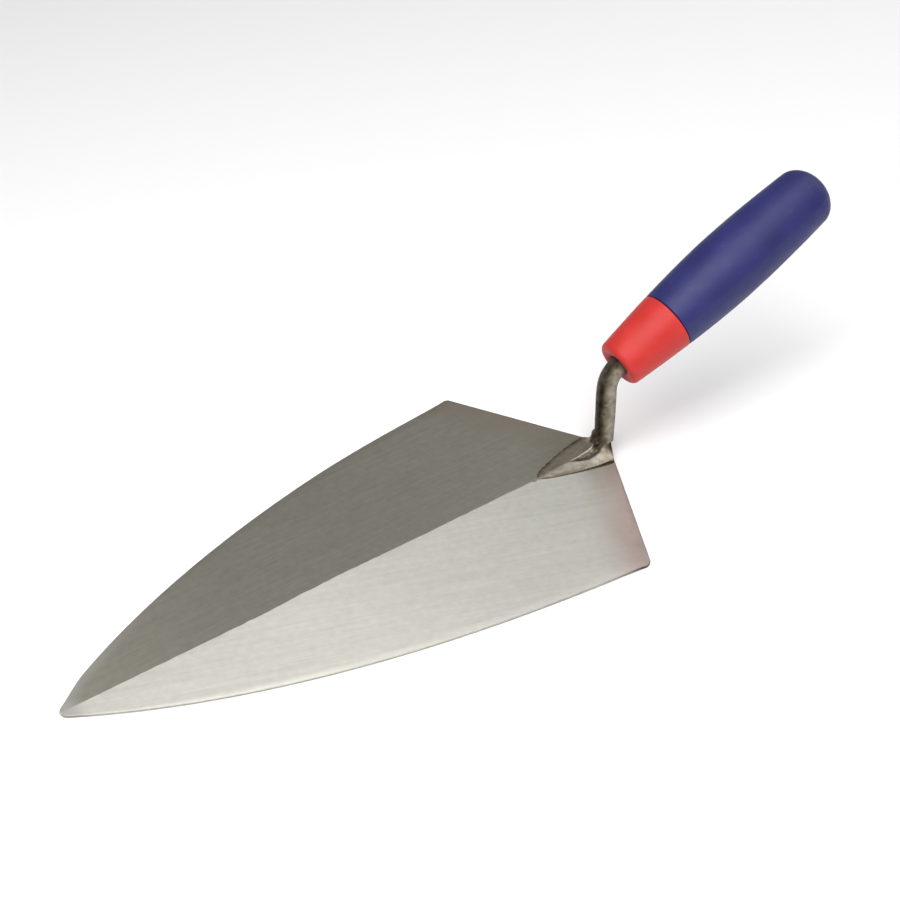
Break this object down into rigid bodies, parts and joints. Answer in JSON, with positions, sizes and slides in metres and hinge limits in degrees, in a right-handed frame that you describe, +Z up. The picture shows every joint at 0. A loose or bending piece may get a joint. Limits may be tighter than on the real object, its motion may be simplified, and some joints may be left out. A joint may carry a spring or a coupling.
{
  "type": "brick trowel",
  "caption": "Bricklayer's trowel with a pointed kite-shaped steel blade, a bent shank welded to its heel and a soft-grip handle.",
  "frame": {"origin": "on the blade's flat underside, under the middle of the whole trowel", "axes": "+X from the handle to the blade's tip, +Z up from the underside, +Y to the left of the tip"},
  "size_m": [0.3994, 0.1444, 0.1051],
  "materials": {
    "blade_steel": "coarse ground, with fine streaks",
    "forged_steel": "forged and lightly oxidised",
    "weld_metal": "rough weld, heat tinted",
    "red_plastic": "moulded, semi-gloss",
    "blue_rubber": "moulded soft grip, satin"
  },
  "bodies": {
    "root": {"blade": "blade_steel", "bolster": "forged_steel", "shank": "forged_steel", "weld_neck": "weld_metal", "weld_left": "weld_metal", "weld_right": "weld_metal", "weld_toe": "weld_metal", "handle_core": "red_plastic", "grip": "blue_rubber"}
  },
  "joints": []
}
